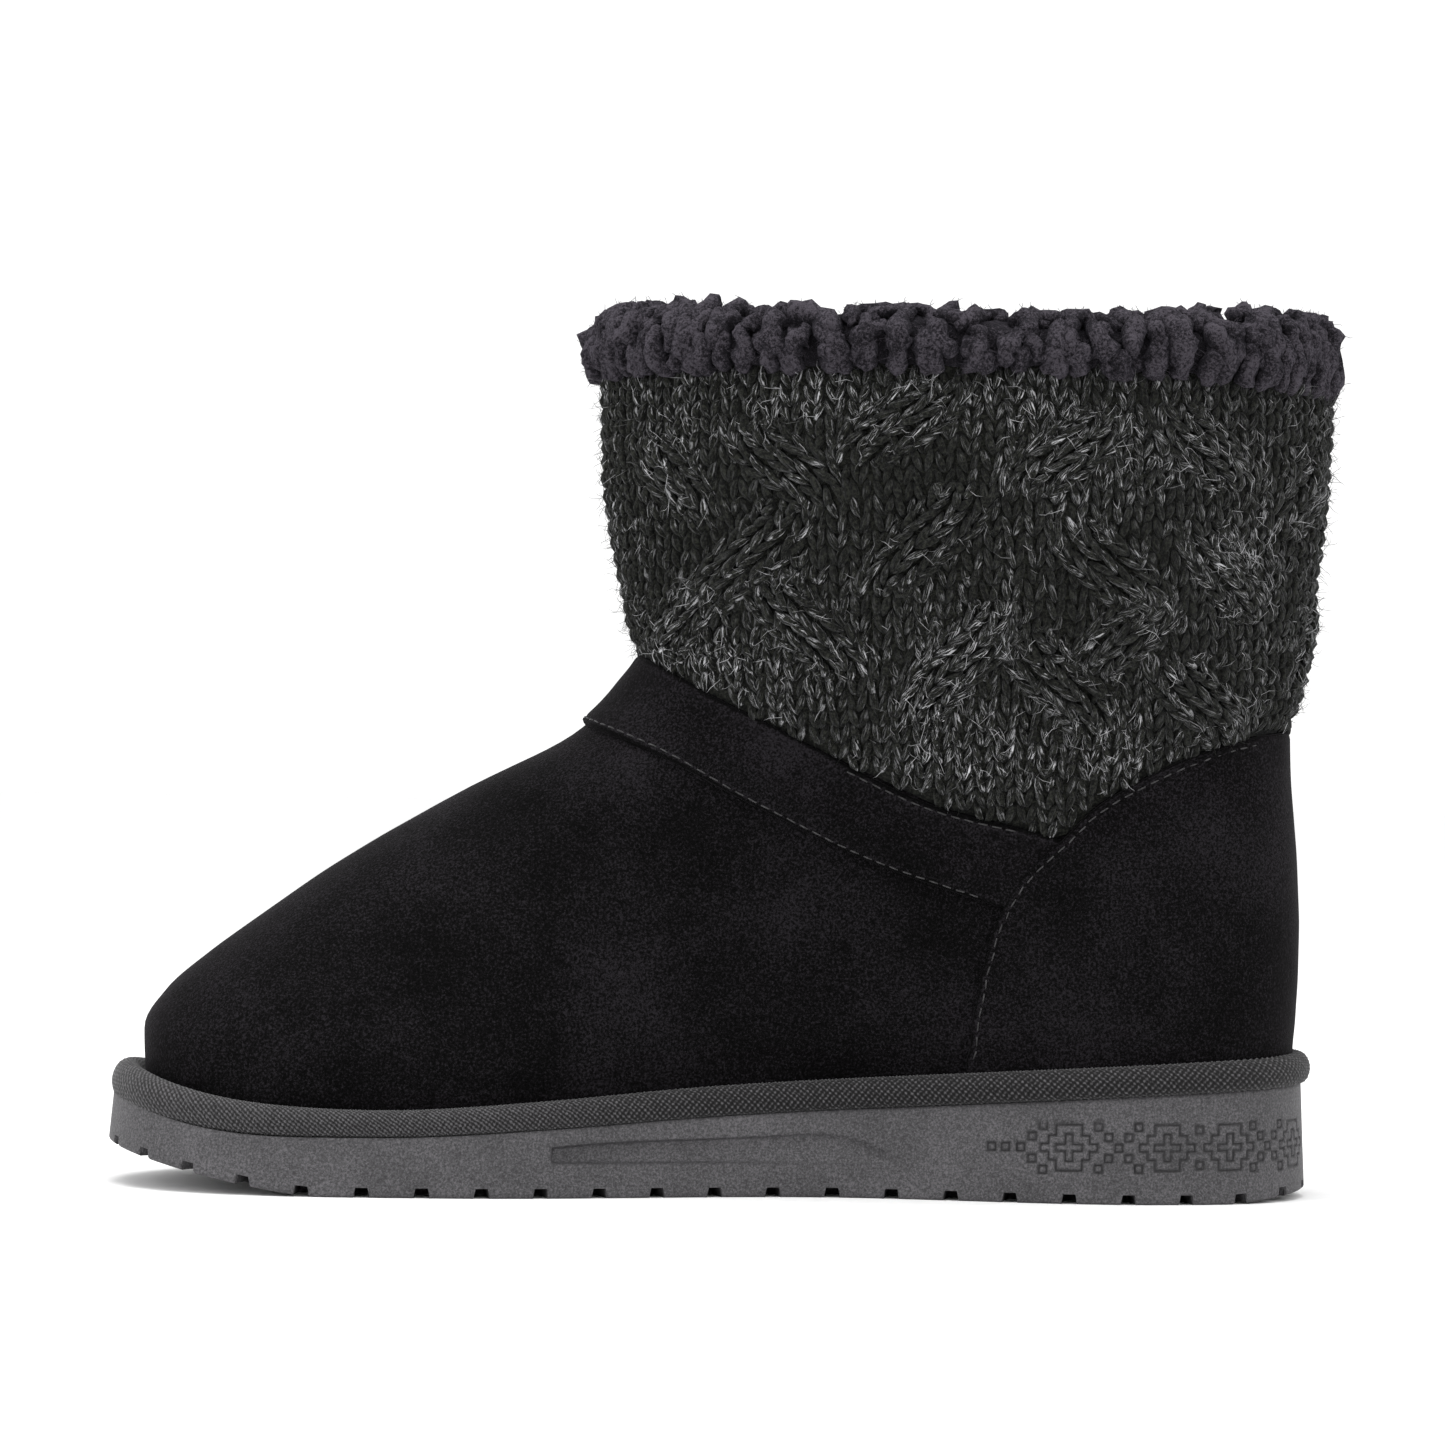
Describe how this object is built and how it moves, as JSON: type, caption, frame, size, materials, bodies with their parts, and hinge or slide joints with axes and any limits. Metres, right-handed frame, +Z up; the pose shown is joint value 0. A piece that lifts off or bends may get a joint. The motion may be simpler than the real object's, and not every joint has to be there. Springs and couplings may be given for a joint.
{
  "type": "ankle boot",
  "caption": "Right ankle boot: suede foot, cable-knit shaft, fleece cuff, taped welt and a notched rubber sole.",
  "frame": {"origin": "floor under the middle of the bounding box", "axes": "+X from heel to toe, +Y to the inner (big toe) side of the foot, +Z up"},
  "size_m": [0.2802, 0.108, 0.1993],
  "materials": {
    "grey_rubber": "matt moulded",
    "woven_tape": "ribbed woven",
    "black_suede": "napped suede",
    "marled_yarn": "cable-knit yarn",
    "fleece": "curled pile"
  },
  "bodies": {
    "root": {"outsole": "grey_rubber", "welt": "woven_tape", "insole": "fleece", "upper": "black_suede", "instep_band": "black_suede", "heel_counter": "black_suede", "knit_shaft": "marled_yarn", "fleece_cuff": "fleece"}
  },
  "joints": []
}
